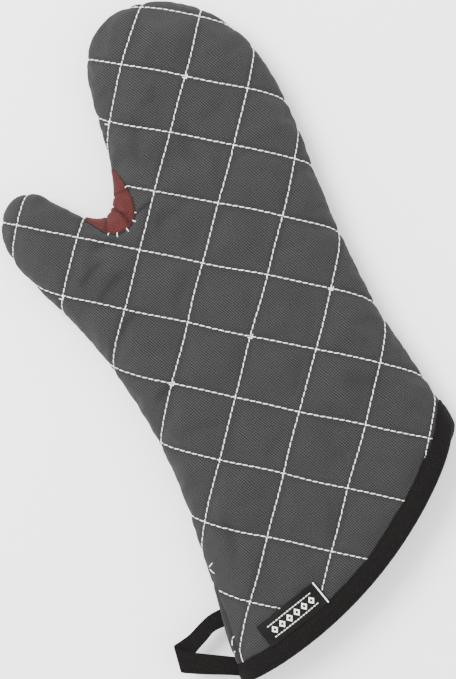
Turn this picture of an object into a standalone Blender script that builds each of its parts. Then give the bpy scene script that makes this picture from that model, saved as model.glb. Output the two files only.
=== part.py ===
"""Quilted oven mitt for either hand, lying flat with its back up.

The origin is on the surface that the mitt lies on, under the middle of its box. +Z is up, +Y points
to the fingertips and the thumb is towards -X. Lengths below are millimetres, made metres by MM.

Two panels, back and palm, meet in the side seam at mid height. Each panel is a shell, a wadding and a
lining, one inside the other. The cloth flexes at the root of the thumb and across the knuckles. There
each layer is split, and a wedge is left open, so that the two sides can turn about a hinge at mid height.
"""
import math

import bmesh
import bpy
import numpy as np
from mathutils import Vector
from mathutils.geometry import delaunay_2d_cdt

MM = 0.001

# Panels: heights are measured from mid height, depths inwards from a panel's outside.
HALF_HEIGHT = 19.0
HALF_GAP = 0.2              # between mid height and the edge of a panel
ROLL = 38.0                 # distance from the side seam at which a panel is at its full height
MOUTH_PINCH = 0.12          # share of the height that the bound mouth loses
PINCH_LENGTH = 40.0
LAYERS = {"shell": (0.0, 1.2), "wadding": (1.8, 6.8), "lining": (7.4, 8.4)}
ROLL_RINGS = (12.5, 22.0, 38.0)   # distances from the seam where the rolled edge has its facets
EXTRA_RINGS = {"shell": (6.8,), "wadding": (8.4,), "lining": ()}   # under the next layer's edge
GRID = 30.0                 # spacing of the points in the flat middle of a panel
CLEARANCE = 0.3

# The mouth is an arc, widest at the bound edge.
MOUTH_CENTRE = np.array([-112.7, 58.7])
BOUND_RADIUS = 295.8
TAPE = 0.8                  # thickness of the binding tape
BINDING_WIDTH = 12.0
BINDING_TURNS = (0, 0.117, 0.555, 1)   # shares of the way to the first roll ring, as on the shell
MOUTH_RADIUS = BOUND_RADIUS - TAPE - 0.4
MOUTH_ROWS = (13.0, 26.0, 40.0)   # distances from the mouth of the rows that follow its pinch
MOUTH_MARGIN = 5.0

# The side seam, from the mouth's thumbless corner round the fingers and the thumb to its other corner.
SEAM = [
    (125.6, -117), (121.8, -97), (110, -50), (103.2, -20), (99, 15), (96, 50), (94.8, 85), (94.4, 118),
    (90.5, 152), (83, 181), (70, 203.5), (52, 220.7), (28, 231.8), (4, 233.2), (-17, 223.3), (-30, 205),
    (-34.2, 180), (-36.3, 152), (-39, 127), (-44.8, 109.5), (-53.5, 101.8), (-66, 106.5), (-81.5, 121.5),
    (-93, 133.5), (-107, 135.9), (-119.5, 127.5), (-125.8, 112), (-123.3, 92), (-112, 65), (-97, 34),
    (-84, -4), (-74.5, -45), (-69, -95), (-70.5, -140), (-72.6, -172), (-73.2, -200), (-73.5, -231),
]
SEAM_STEPS = 2              # facets between two of these points
GUARD_STEPS = {17: 5, 18: 4, 19: 3, 20: 3, 21: 4}   # finer round the crotch, from these points on
TAIL = 60.0                 # straight run added past each corner, which the mouth cuts off
GUARD_ENDS = [(-37.4, 134.0), (-73.5, 113.5)]   # where the guard's edges meet the seam
GUARD_WIDTH = 16.5

# Hinges, at mid height.
FLEX = math.radians(60)
THUMB_PIVOT = (-68.6, 101.6)
THUMB_AXIS = (0.218, 0.976)
FINGER_PIVOT = (30.0, 150.0)
FINGER_AXIS = (1.0, 0.0)

# Hanging loop, sewn into the side seam and the corner of the binding.
LOOP_OUTSIDE = [(-76.8, -182.5), (-96, -191.6), (-109.5, -194), (-112, -197), (-112, -214), (-92, -223.6),
                (-76.8, -231)]
LOOP_INSIDE = [(-79, -197), (-96.5, -204.2), (-79, -213)]
LOOP_THICKNESS = 1.8
LOOP_PIVOT = (-76.2, -206.0)

# Woven label, sewn down under the binding.
LABEL_SIZE = (51.0, 18.5)
LABEL_THICKNESS = 0.5
LABEL_ANGLE = math.radians(-71.3)   # of its middle, seen from the centre of the mouth
LABEL_FLOAT = 0.5           # between the shell and the label

COLOURS = {
    "shell": (0.075, 0.078, 0.08), "wadding": (0.62, 0.58, 0.5), "lining": (0.3, 0.3, 0.3),
    "guard": (0.17, 0.045, 0.04), "tape": (0.012, 0.011, 0.011), "label": (0.01, 0.01, 0.01),
}


def clear_scene():
    for thing in list(bpy.data.objects):
        bpy.data.objects.remove(thing)


def material(name):
    found = bpy.data.materials.get(name)
    if found:
        return found
    made = bpy.data.materials.new(name)
    made.use_nodes = True
    shader = made.node_tree.nodes["Principled BSDF"]
    shader.inputs["Base Color"].default_value = (*COLOURS[name], 1)
    shader.inputs["Roughness"].default_value = 0.9
    shader.inputs["Metallic"].default_value = 0.0
    made.diffuse_color = (*COLOURS[name], 1)
    return made


def add_node(name, mesh, finish, pivot=(0.0, 0.0, 0.0)):
    """Makes a bmesh in millimetres, above mid height, an object in metres with its origin at the pivot."""
    bmesh.ops.translate(mesh, vec=Vector((0, 0, HALF_HEIGHT)) - Vector(pivot), verts=mesh.verts)
    bmesh.ops.scale(mesh, vec=(MM, MM, MM), verts=mesh.verts)
    data = bpy.data.meshes.new(name)
    mesh.to_mesh(data)
    mesh.free()
    data.materials.append(material(finish))
    thing = bpy.data.objects.new(name, data)
    thing.location = Vector(pivot) * MM
    bpy.context.collection.objects.link(thing)
    return thing


# --- Outline and height of the panels ---

def smooth_curve(points, steps):
    """Catmull-Rom curve through the points, with these steps from each of them to the next."""
    p = np.asarray(points, float)
    ends = np.vstack([2 * p[0] - p[1], p, 2 * p[-1] - p[-2]])
    runs = []
    for a, b, c, d, count in zip(ends, ends[1:], ends[2:], ends[3:], steps):
        t = np.linspace(0, 1, count, endpoint=False)[:, None]
        bend = (2 * a - 5 * b + 4 * c - d) * t ** 2 + (3 * b - a - 3 * c + d) * t ** 3
        runs.append(b + (c - a) * t / 2 + bend / 2)
    return np.vstack([*runs, p[-1:]])


def with_tails(curve, count):
    """The curve with a straight run before its first point and after its last."""
    def tail(end, before):
        way = (end - before) / np.linalg.norm(end - before)
        return end + way * np.linspace(TAIL / count, TAIL, count)[:, None]
    return np.vstack([tail(curve[0], curve[1])[::-1], curve, tail(curve[-1], curve[-2])])


def normals_of(curve):
    """Unit vectors square to the curve, to its left: the seam runs round the mitt with the inside there."""
    way = np.gradient(curve, axis=0)
    way /= np.linalg.norm(way, axis=1)[:, None]
    return np.column_stack([-way[:, 1], way[:, 0]])


FINE_SEAM = with_tails(smooth_curve(SEAM, [24] * (len(SEAM) - 1)), 80)
COARSE_SEAM = with_tails(smooth_curve(SEAM, [GUARD_STEPS.get(i, SEAM_STEPS) for i in range(len(SEAM) - 1)]), 4)
COARSE_NORMALS = normals_of(FINE_SEAM)[
    [int(np.argmin(np.linalg.norm(FINE_SEAM - point, axis=1))) for point in COARSE_SEAM]]


def seam_distance(points):
    """Distance in plan from each point to the side seam."""
    return np.linalg.norm(np.asarray(points)[:, None] - FINE_SEAM, axis=2).min(axis=1)


def seam_depth(points):
    """A distance to the side seam with no ridge in the middle of the thumb or the fingers.

    It is the inverse cube root of the sum of 1 / distance^4 along the seam, scaled to be the true
    distance beside a straight seam.
    """
    middles = (FINE_SEAM[1:] + FINE_SEAM[:-1]) / 2
    lengths = np.linalg.norm(np.diff(FINE_SEAM, axis=0), axis=1)
    away = np.linalg.norm(np.asarray(points)[:, None] - middles, axis=2)
    total = (lengths / np.maximum(away, 0.05) ** 4).sum(axis=1)
    return np.minimum((math.pi / 2 / total) ** (1 / 3), 2 * seam_distance(points))


def pinch(points):
    """Share of the full height left near the bound mouth."""
    inwards = MOUTH_RADIUS - np.linalg.norm(np.asarray(points) - MOUTH_CENTRE, axis=1)
    return 1 - MOUTH_PINCH * (1 - np.clip(inwards / PINCH_LENGTH, 0, 1)) ** 2


def height(points, depth, gap=HALF_GAP):
    """Height above mid height of the surface this deep in the panel: a quarter ellipse, then flat."""
    share = np.clip((seam_depth(points) - depth) / (ROLL - depth), 0, 1)
    return gap + (HALF_HEIGHT - gap - depth) * pinch(points) * np.sqrt(1 - (1 - share) ** 2)


def crossing(a, b, radius):
    """Where the line from a to b crosses the circle of this radius about the mouth's centre."""
    way = b - a
    start = a - MOUTH_CENTRE
    half = start @ way
    root = math.sqrt(half ** 2 - way @ way * (start @ start - radius ** 2))
    return a + way * ((root - half) / (way @ way))


def ring(distance, radius=MOUTH_RADIUS, extra=0.0):
    """The seam moved inwards by a distance, from where it leaves the mouth's circle to where it returns."""
    line = COARSE_SEAM + COARSE_NORMALS * (distance + np.asarray(extra))[..., None]
    away = np.linalg.norm(line - MOUTH_CENTRE, axis=1)
    middle = len(line) // 2
    first = max(i for i in range(middle) if away[i] > radius)
    last = min(i for i in range(middle, len(line)) if away[i] > radius)
    inner = [line[i] for i in range(first + 1, last) if away[i] < radius - MOUTH_MARGIN / 2]
    return np.array([crossing(line[first + 1], line[first], radius), *inner,
                     crossing(line[last - 1], line[last], radius)])


def mouth_row(radius, distances, middle_steps=7):
    """Points across the mitt at this radius, from the -X seam to the +X seam."""
    left = [ring(d, radius)[-1] for d in distances]
    right = [ring(d, radius)[0] for d in distances]
    angles = [math.atan2(*(p - MOUTH_CENTRE)[::-1]) for p in (left[-1], right[-1])]
    flat = [MOUTH_CENTRE + radius * np.array([math.cos(a), math.sin(a)])
            for a in np.linspace(*angles, middle_steps + 1)[1:-1]]
    return np.array([*left, *flat, *right[::-1]])


# --- Solids ---

def guard_reach():
    """How far the web guard reaches in from each point of the seam: a lens round the crotch."""
    start, end = [int(np.argmin(np.linalg.norm(COARSE_SEAM - point, axis=1))) for point in GUARD_ENDS]
    steps = np.linalg.norm(np.diff(COARSE_SEAM[start:end + 1], axis=0), axis=1)
    reach = np.zeros(len(COARSE_SEAM))
    reach[start + 1:end] = GUARD_WIDTH * np.sin(math.pi * np.cumsum(steps)[:-1] / steps.sum())
    return reach


def spread(points, kept, spacing):
    """Adds to the kept points those that are at least the spacing from every one before."""
    for point in points:
        if np.linalg.norm(np.array(kept) - point, axis=1).min() >= spacing:
            kept.append(point)
    return kept


def inside(points, outline):
    """Which points lie inside a closed outline, by counting its edges to the right of each."""
    a, b = outline, np.roll(outline, -1, axis=0)
    x, y = np.asarray(points)[:, :1], np.asarray(points)[:, 1:]
    spans = (a[:, 1] > y) != (b[:, 1] > y)
    rise = np.where(b[:, 1] == a[:, 1], 1, b[:, 1] - a[:, 1])
    meets = a[:, 0] + (y - a[:, 1]) * (b[:, 0] - a[:, 0]) / rise > x
    return (spans & meets).sum(axis=1) % 2 == 1


def sheet_plan(outer, inner, rings, extra):
    """Plan points and triangles of a layer whose faces start this far from the seam."""
    outline = np.vstack([ring(outer, extra=extra), mouth_row(MOUTH_RADIUS, [outer, inner, *rings])[1:-1]])
    chains = [ring(d, extra=extra) for d in (inner, *rings) if d < ROLL_RINGS[0]]
    kept = list(outline)
    edges = [(i, (i + 1) % len(outline)) for i in range(len(outline))]
    for chain in chains:
        edges += [(len(kept) + i, len(kept) + i + 1) for i in range(len(chain) - 1)]
        kept += list(chain)
    rows = [mouth_row(MOUTH_RADIUS - q, ROLL_RINGS) for q in MOUTH_ROWS]
    kept = spread(np.vstack(rows), kept, 2.5)
    for distance in ROLL_RINGS:
        line = ring(distance)[1:-1]
        fits = seam_distance(line) > distance - 0.6
        clear = np.linalg.norm(line - MOUTH_CENTRE, axis=1) < MOUTH_RADIUS - MOUTH_MARGIN
        kept = spread(line[fits & clear], kept, 4.0)
    low, high = FINE_SEAM.min(axis=0), FINE_SEAM.max(axis=0)
    grid = np.array([(x, y) for x in np.arange(low[0], high[0], GRID) for y in np.arange(low[1], high[1], GRID)])
    grid = grid[inside(grid, outline)]
    kept = spread(grid[seam_distance(grid) > inner + 5], kept, 13.0)
    points, _, faces = delaunay_2d_cdt([Vector(p) for p in kept], edges, [], 0, 1e-4)[:3]
    points = np.array([tuple(p) for p in points])
    faces = [f for f in faces if inside([points[list(f)].mean(axis=0)], outline)[0]]
    return points, faces


def layer(name, extra):
    """One layer of the back panel: its outer and inner face, the strip at the seam and the mouth's wall."""
    outer, inner = LAYERS[name]
    points, faces = sheet_plan(outer, inner, EXTRA_RINGS[name] + ROLL_RINGS, extra)
    distance = seam_distance(points)
    top = np.where(distance < outer + 0.08, HALF_GAP, height(points, outer))
    bottom = np.where(distance < inner + 0.08, HALF_GAP, height(points, inner))
    top = np.maximum(top, bottom)
    mesh = bmesh.new()
    upper = [mesh.verts.new((*p, z)) for p, z in zip(points, top)]
    lower = [u if t - b < 0.01 else mesh.verts.new((*p, b)) for u, p, t, b in zip(upper, points, top, bottom)]
    count = {}
    for face in faces:
        mesh.faces.new([upper[i] for i in face])
        if any(upper[i] is not lower[i] for i in face):
            mesh.faces.new([lower[i] for i in reversed(face)])
        for pair in zip(face, (*face[1:], face[0])):
            count[frozenset(pair)] = pair if frozenset(pair) not in count else None
    for pair in filter(None, count.values()):
        a, b = pair
        wall = [upper[b], upper[a]] + [lower[i] for i in (a, b) if lower[i] is not upper[i]]
        if len(wall) > 2:
            mesh.faces.new(wall)
    return mesh


def keep_side(mesh, point, away):
    """Cuts a solid by the plane through the point, keeps what lies the way of `away`, and closes the cut."""
    bmesh.ops.bisect_plane(mesh, geom=[*mesh.verts, *mesh.edges, *mesh.faces], plane_co=point,
                           plane_no=away, clear_inner=True)
    rim = [edge for edge in mesh.edges if edge.is_boundary]
    made = bmesh.ops.holes_fill(mesh, edges=rim, sides=0)
    bmesh.ops.triangulate(mesh, faces=made["faces"])
    bmesh.ops.recalc_face_normals(mesh, faces=mesh.faces)


def flex_cut(mesh, pivot, axis, side, upper):
    """Cuts a layer back from a hinge to a plane that leans away by half the flex, on one side of the axis."""
    across = np.array([-axis[1], axis[0]]) * side
    lean = math.tan(FLEX / 2) * (1 if upper else -1)
    away = Vector((across[0], across[1], -lean)).normalized()
    clear = CLEARANCE + 0.1
    keep_side(mesh, Vector((pivot[0] + across[0] * clear, pivot[1] + across[1] * clear, 0)), away)


def mirrored(mesh):
    """The palm's copy of a back layer: its heights turned over, its faces turned round."""
    copy = mesh.copy()
    for vert in copy.verts:
        vert.co.z = -vert.co.z
    bmesh.ops.reverse_faces(copy, faces=copy.faces)
    return copy


def add_panels():
    reach = guard_reach()
    for name in LAYERS:
        extra = np.where(reach > 0, reach + CLEARANCE + 0.1, 0) if name == "shell" else np.zeros(len(reach))
        back = layer(name, extra)
        for panel, upper in (("back", True), ("palm", False)):
            whole = back.copy() if upper else mirrored(back)
            thumb, fingers = whole.copy(), whole.copy()
            flex_cut(thumb, THUMB_PIVOT, THUMB_AXIS, 1, upper)
            flex_cut(fingers, FINGER_PIVOT, FINGER_AXIS, 1, upper)
            flex_cut(whole, THUMB_PIVOT, THUMB_AXIS, -1, upper)
            flex_cut(whole, FINGER_PIVOT, FINGER_AXIS, -1, upper)
            add_node(f"{panel}_{name}", whole, name)
            add_node(f"thumb_{panel}_{name}", thumb, name, (*THUMB_PIVOT, HALF_HEIGHT))
            add_node(f"finger_{panel}_{name}", fingers, name, (*FINGER_PIVOT, HALF_HEIGHT))
        back.free()


def loft(loops, closed_round, closed_across):
    """A surface through equal loops of points, closed round each loop and from the last loop to the first."""
    mesh = bmesh.new()
    rows = [[mesh.verts.new(p) for p in loop] for loop in loops]
    across = zip(rows, rows[1:] + rows[:1]) if closed_across else zip(rows, rows[1:])
    for a, b in across:
        for i in range(len(a) if closed_round else len(a) - 1):
            j = (i + 1) % len(a)
            mesh.faces.new((a[i], a[j], b[j], b[i]))
    bmesh.ops.recalc_face_normals(mesh, faces=mesh.faces)
    return mesh


def binding_loop(radius, depth):
    """Once round the mouth at this radius, this deep in both panels, with facets that follow the panels'."""
    first, last = ROLL_RINGS[0], len(BINDING_TURNS) - 1
    turns = [depth + share * (first - depth) for share in BINDING_TURNS] + list(ROLL_RINGS[1:])
    plan = mouth_row(radius, turns)
    rise = height(plan, depth)
    rise[[0, -1]] = HALF_GAP
    if depth > 0:
        for corner in (rise[:last + 1], rise[::-1][:last + 1]):
            corner[:] = corner[0] + (corner[-1] - corner[0]) * np.array(BINDING_TURNS)
    upper = np.column_stack([plan, rise])
    return np.vstack([upper, upper[::-1] * (1, 1, -1)])


def add_binding():
    """A tape folded over the bound edge: a channel with one wall outside the shell and one inside the lining."""
    outside, inside_wall = -CLEARANCE, LAYERS["lining"][1] + CLEARANCE
    start, edge = BOUND_RADIUS - BINDING_WIDTH, BOUND_RADIUS - TAPE
    profile = [(start, outside - TAPE), (BOUND_RADIUS, outside - TAPE), (BOUND_RADIUS, inside_wall + TAPE),
               (start, inside_wall + TAPE), (start, inside_wall), (edge, inside_wall), (edge, outside),
               (start, outside)]
    add_node("cuff_binding", loft([binding_loop(r, d) for r, d in profile], True, True), "tape")


def add_web_guard():
    """The reinforced gusset round the crotch, from the back panel's edge over the side to the palm's."""
    reach = guard_reach()
    loops = []
    for i in np.flatnonzero(reach):
        inwards = reach[i] * np.array([1, 0.7, 0.42, 0.2, 0.06, 0])
        inwards = np.concatenate([inwards, inwards[-2::-1]])
        sides = np.array([1] * 5 + [0] + [-1] * 5)
        faces = []
        for depth in (0.0, LAYERS["shell"][1]):
            plan = COARSE_SEAM[i] + COARSE_NORMALS[i] * np.maximum(inwards, depth)[:, None]
            rise = np.where(np.maximum(inwards, depth) <= depth, 0, height(plan, depth, 0))
            faces.append(np.column_stack([plan, rise * sides]))
        loops.append(np.vstack([faces[0], faces[1][::-1]]))
    mesh = loft(loops, True, False)
    mesh.faces.new([v for v in mesh.verts][:len(loops[0])])
    mesh.verts.ensure_lookup_table()
    mesh.faces.new(mesh.verts[-len(loops[0]):])
    bmesh.ops.recalc_face_normals(mesh, faces=mesh.faces)
    for upper in (True, False):
        flex_cut(mesh, THUMB_PIVOT, THUMB_AXIS, -1, upper)
    add_node("web_guard", mesh, "guard")


def add_hanging_loop():
    """A folded length of the binding tape: an outline with a three-cornered hole, at mid height."""
    outline, hole = np.array(LOOP_OUTSIDE, float), np.array(LOOP_INSIDE, float)
    count = len(outline)
    edges = [(i, (i + 1) % count) for i in range(count)]
    edges += [(count + i, count + (i + 1) % len(hole)) for i in range(len(hole))]
    points, _, faces = delaunay_2d_cdt([Vector(p) for p in (*outline, *hole)], edges, [], 0, 1e-4)[:3]
    points = np.array([tuple(p) for p in points])
    mesh = bmesh.new()
    verts = [mesh.verts.new((*p, LOOP_THICKNESS / 2)) for p in points]
    for face in faces:
        middle = [points[list(face)].mean(axis=0)]
        if inside(middle, outline)[0] and not inside(middle, hole)[0]:
            mesh.faces.new([verts[i] for i in face])
    grown = bmesh.ops.extrude_face_region(mesh, geom=list(mesh.faces))
    lifted = [v for v in grown["geom"] if isinstance(v, bmesh.types.BMVert)]
    bmesh.ops.translate(mesh, vec=(0, 0, -LOOP_THICKNESS), verts=lifted)
    bmesh.ops.recalc_face_normals(mesh, faces=mesh.faces)
    add_node("hanging_loop", mesh, "tape", (*LOOP_PIVOT, HALF_HEIGHT))


def add_label():
    """A woven tab that follows the shell, with its sewn edge against the binding."""
    way = np.array([math.cos(LABEL_ANGLE), math.sin(LABEL_ANGLE)])
    across = np.array([-way[1], way[0]])
    edge = MOUTH_CENTRE + way * math.sqrt((BOUND_RADIUS - BINDING_WIDTH - 1.2) ** 2 - (LABEL_SIZE[0] / 2) ** 2)
    steps = np.linspace(-0.5, 0.5, 7) * LABEL_SIZE[0]
    rows = []
    for up in (0, LABEL_SIZE[1]):
        plan = edge - way * up + across * steps[:, None]
        rows.append(np.column_stack([plan, height(plan, 0) + LABEL_FLOAT]))
    lift = np.array([0, 0, LABEL_THICKNESS])
    loops = [np.array([a, b, b + lift, a + lift]) for a, b in zip(*rows)]
    mesh = loft(loops, True, False)
    mesh.verts.ensure_lookup_table()
    mesh.faces.new(mesh.verts[:4])
    mesh.faces.new(mesh.verts[-4:])
    bmesh.ops.recalc_face_normals(mesh, faces=mesh.faces)
    middle = rows[0][len(steps) // 2]
    add_node("woven_label", mesh, "label", (middle[0], middle[1], HALF_HEIGHT + middle[2]))


def main():
    clear_scene()
    add_panels()
    add_binding()
    add_web_guard()
    add_hanging_loop()
    add_label()


main()
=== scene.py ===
"""Looks of a quilted oven mitt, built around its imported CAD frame.

The mitt lies flat with its back up, its fingertips towards +Y and its thumb towards -X. Its cloth is
worked out from the cut pattern: the side seam, the arc of the mouth and two families of stitch lines.
"""
import math

import bmesh
import bpy
import numpy as np
from bpy.props import FloatProperty, FloatVectorProperty, PointerProperty
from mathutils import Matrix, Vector
from mathutils.bvhtree import BVHTree


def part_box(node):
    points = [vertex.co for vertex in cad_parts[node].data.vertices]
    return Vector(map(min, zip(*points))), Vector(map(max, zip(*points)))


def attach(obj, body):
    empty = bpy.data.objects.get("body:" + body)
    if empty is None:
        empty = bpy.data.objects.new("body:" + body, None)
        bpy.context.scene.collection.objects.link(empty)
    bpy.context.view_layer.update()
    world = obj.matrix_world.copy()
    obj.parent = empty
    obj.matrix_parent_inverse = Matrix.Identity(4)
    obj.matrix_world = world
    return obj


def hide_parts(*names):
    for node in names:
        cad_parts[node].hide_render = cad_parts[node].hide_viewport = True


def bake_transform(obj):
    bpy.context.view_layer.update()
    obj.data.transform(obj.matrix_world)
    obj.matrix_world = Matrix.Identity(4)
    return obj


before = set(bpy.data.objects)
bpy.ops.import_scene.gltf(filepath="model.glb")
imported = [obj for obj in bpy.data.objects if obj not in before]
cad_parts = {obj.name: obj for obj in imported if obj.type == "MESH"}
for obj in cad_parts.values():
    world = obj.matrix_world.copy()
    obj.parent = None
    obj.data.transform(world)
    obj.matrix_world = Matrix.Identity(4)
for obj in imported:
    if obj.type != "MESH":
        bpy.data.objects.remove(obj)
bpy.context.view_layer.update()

bl_info = {
    "name": "Quilted oven mitt",
    "version": (1, 0, 0),
    "blender": (4, 5, 0),
    "location": "View3D > Sidebar > Mitt",
    "description": "Builds the cloth, thread, tape and label of a quilted oven mitt",
    "category": "Object",
}

MM = 0.001

# Half of the mitt's thickness, and the reach of its rolled edge from the side seam.
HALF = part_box("back_shell")[1][2] / 2
ROLL = 38 * MM
PINCH = 0.12
PINCH_LENGTH = 40 * MM
LINING_DEPTH = 8.4 * MM

# The mouth is an arc about this centre.
MOUTH = np.array((-112.7, 58.7)) * MM
BOUND_RADIUS = 295.8 * MM
TAPE_WIDTH = 13 * MM

# The side seam, from the cuff's +X corner round the fingers and the thumb to its -X corner.
SEAM = np.array([
    (125.6, -117), (121.8, -97), (110, -50), (103.2, -20), (99, 15), (96, 50), (94.8, 85), (94.4, 118),
    (90.5, 152), (83, 181), (70, 203.5), (52, 220.7), (28, 231.8), (4, 233.2), (-17, 223.3), (-30, 205),
    (-34.2, 180), (-36.3, 152), (-39, 127), (-44.8, 109.5), (-53.5, 101.8), (-66, 106.5), (-81.5, 121.5),
    (-93, 133.5), (-107, 135.9), (-119.5, 127.5), (-125.8, 112), (-123.3, 92), (-112, 65), (-97, 34),
    (-84, -4), (-74.5, -45), (-69, -95), (-70.3, -140), (-70.9, -170), (-73.9, -205), (-73.5, -231),
]) * MM
SEAM_TAIL = 60 * MM
SEAM_STEPS = 24

# Quilting: the offset of line k is start + pitch * k + crowd * k * k, along the family's normal.
# The rows also fan out a little, each turned by its number about a place along it, and the one nearest
# the fingertips lies farther out.
ROWS = {"angle": math.radians(-32.4), "start": 41.5 * MM, "pitch": 42.7 * MM, "crowd": -0.34 * MM,
        "fan": 0.0058, "level": -3, "pivot": 25 * MM, "tip": 6 * MM}
COLUMNS = {"angle": math.radians(55.5), "start": 27.6 * MM, "pitch": -44.6 * MM, "crowd": -0.22 * MM,
           "fan": 0.0, "level": 0, "pivot": 0.0, "tip": 0.0}
LINES = np.arange(-6, 7)
TIP_LINE = 4
SPLIT_ROW = 1               # the stitched row between the hand's cloth and the fingers'
SPLIT_MARGIN = 1.4 * MM     # the parting lies this far past the row, so that no stitch crosses it
WANDER = 0.34 * MM          # how far a stitch line strays from straight

# The web guard: the ends of its edge on the seam, then the share of the way round the crotch and the
# distance in from the seam, in millimetres. Its stitches have a share and a length each.
GUARD_START = np.array((-37.5, 131)) * MM
GUARD_END = np.array((-65.5, 106.2)) * MM
GUARD_EDGE = np.array([(0, 0), (0.16, 5.2), (0.3, 9.2), (0.42, 13.8), (0.53, 17), (0.62, 18.6), (0.7, 16),
                       (0.77, 10.5), (0.86, 4.6), (1, 0)])
WHIP_STITCHES = ((0.27, 2.6), (0.54, 1.4), (0.6, 3.2), (0.66, 3.4), (0.71, 3.6), (0.75, 2.0))
GUARD_SINK = 2.6 * MM       # the outer cloth dips this far under the guard
GUARD_BULGE = 0.7 * MM
GUARD_INSET = 0.45 * MM
# Wrinkles: share of the way round, slant, depth and width as a share of the way round.
GUARD_CREASES = ((0.53, 0.10, 1.5 * MM, 0.016), (0.40, -0.10, 0.7 * MM, 0.022),
                 (0.71, 0.06, 1.1 * MM, 0.014), (0.61, -0.05, 0.6 * MM, 0.013))
# Painted shade: a guard wrinkle this deep gets the full painted shade.
FULL_SHADE_DEPTH = 3 * MM        # a wrinkle this deep would be dark all over

# The loop's tape is folded once: the places of its two edges, from the seam to the fold and back.
LOOP_TOP = np.array([(-68.5, -181.8, 0), (-80.2, -183.5, 0), (-88.9, -187.1, 0), (-97.8, -191.6, -0.3),
                     (-105.7, -194, -0.8), (-110.6, -195.6, 0), (-106, -200, 0.9), (-97.4, -205.2, 0.8),
                     (-87, -210.3, 0.6), (-76.5, -215.4, 0.4), (-68.5, -219.6, 0.2)]) * MM
LOOP_LOW = np.array([(-68.5, -194.4, 0), (-80.2, -195.3, 0), (-87.8, -199.3, 0), (-97.2, -204.5, -0.3),
                     (-105, -210, -0.8), (-112, -214, 0), (-106, -217.4, 0.9), (-95.9, -221.7, 0.8),
                     (-86, -225.6, 0.6), (-78, -228.9, 0.4), (-69.5, -232.8, 0.2)]) * MM
TAPE_THICKNESS = 0.9 * MM

# The label lies along the mouth, its lower edge sewn down beside the binding.
LABEL_SIZE = (51 * MM, 18.5 * MM)
LABEL_ANGLE = math.radians(-71.3)
LABEL_HINGE = 281.45 * MM
LABEL_TUCK = 1.8 * MM       # how far the label's lower edge lies beyond its hinge

PALM_LIFT = 1.6 * MM        # the palm's cloth starts this far above the floor
SEAM_CLIMB = 9 * MM         # how far the seam comes up onto the back beside the cuff's thumb corner

# The swelling of the cloth between its stitches, and how far it is drawn in along them.
SKIN_VOXEL, LINING_VOXEL = 3 * MM, 4 * MM
LINING_THICKNESS = 0.6 * MM
SIMULATED_FRAMES = 20
CLOTH = {"quality": 6, "mass": 0.25, "tension_stiffness": 12, "compression_stiffness": 12,
         "shear_stiffness": 4, "bending_stiffness": 0.3, "shrink_min": -0.035, "use_pressure": True,
         "uniform_pressure_force": 4, "pin_stiffness": 2}
PUFF = 2.0 * MM             # height of a square's middle where the cloth isn't simulated
PUFF_REACH = 17 * MM
KEPT_PUFF = 0.35            # share of that height that goes on top of the simulated swelling
SWELL_CAP = 3.0 * MM
STITCH_GROOVE, STITCH_GROOVE_WIDTH = 0.7 * MM, 1.7 * MM
SEAM_GROOVE, SEAM_GROOVE_WIDTH = 1.2 * MM, 1.6 * MM
UNDER_TAPE = 0.5 * MM       # the cloth under the binding is pressed in this far
LOWEST = 0.15 * MM          # no cloth comes nearer to the floor

# Creases of the back's cloth: start, end, depth and width in millimetres on the flat pattern.
CREASES = (((-32.5, 96), (-17, 99), 1.4, 0.9), ((-24, 84), (2, 88), 0.9, 4.5),
           ((-70, 84), (-46, 82), 0.6, 3.0), ((-84, 62), (-62, 74), 0.9, 2.6),
           ((-76, 48), (-52, 62), 0.8, 3.0), ((-20, 128), (-8, 160), 0.9, 4.0),
           ((14, 116), (22, 150), 0.8, 5.0), ((-72, 20), (-50, 34), 0.7, 3.0),
           ((-46, -120), (-52, -160), 0.6, 4.0), ((62, -60), (92, -78), 0.7, 5.0),
           ((-62, -30), (-40, -22), 0.6, 3.0), ((40, 30), (60, 52), 0.6, 6.0))

# Crossings of a row and a column where the thread was tied off, and ends of the palm's stitching that
# come over the seam: start and end in plan, in millimetres.
KNOTS = ((3, -1), (2, -2), (0, 2), (-1, 1), (-2, 0), (-1, -2))
KNOT_REACH = 1.3 * MM
TICKS = (((-68.6, -151.6), (-65.2, -149.2)), ((-68.6, -152.8), (-66.4, -156.8)),
         ((-72.2, -208.4), (-70.6, -204.2)), ((-70.4, -203.6), (-68.4, -202.2)))

# Thread: the gap between two stitches, how far a stitch leans, and the make-up of one.
STITCH_GAP = 0.65 * MM
STITCH_LEAN = 0.24 * MM
STITCH_STRAY = 0.13 * MM
STITCH_RUN = 0.33           # half of the length of a stitch line, in metres
THREAD_STATIONS, THREAD_SIDES = 6, 6
HIDDEN_UNDER_TAPE = 5 * MM
HIDDEN_UNDER_GUARD = 2.6 * MM

# Twill of the outer cloth and of the guard.
TWILL_PITCH, TWILL_ANGLE = 1.45 * MM, math.radians(26)
GUARD_TWILL_PITCH, GUARD_TWILL_ANGLE = 1.4 * MM, math.radians(50)

# The view: straight down, turned so that the fingertips lean to the left.
VIEW_MIDDLE = (-2.2 * MM, -7.5 * MM)
VIEW_ROLL = math.radians(-20)
VIEW_LENGTH = 0.4733
SENSOR = 36.0
ROOM_LIGHT = 2.0
FLOOR_REACH = 6.0
LAMPS = (("key_lamp", (-0.7, 0.9, 1.6), 1.1, 88.0), ("fill_lamp", (1.2, -0.5, 1.7), 1.8, 14.0))


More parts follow.
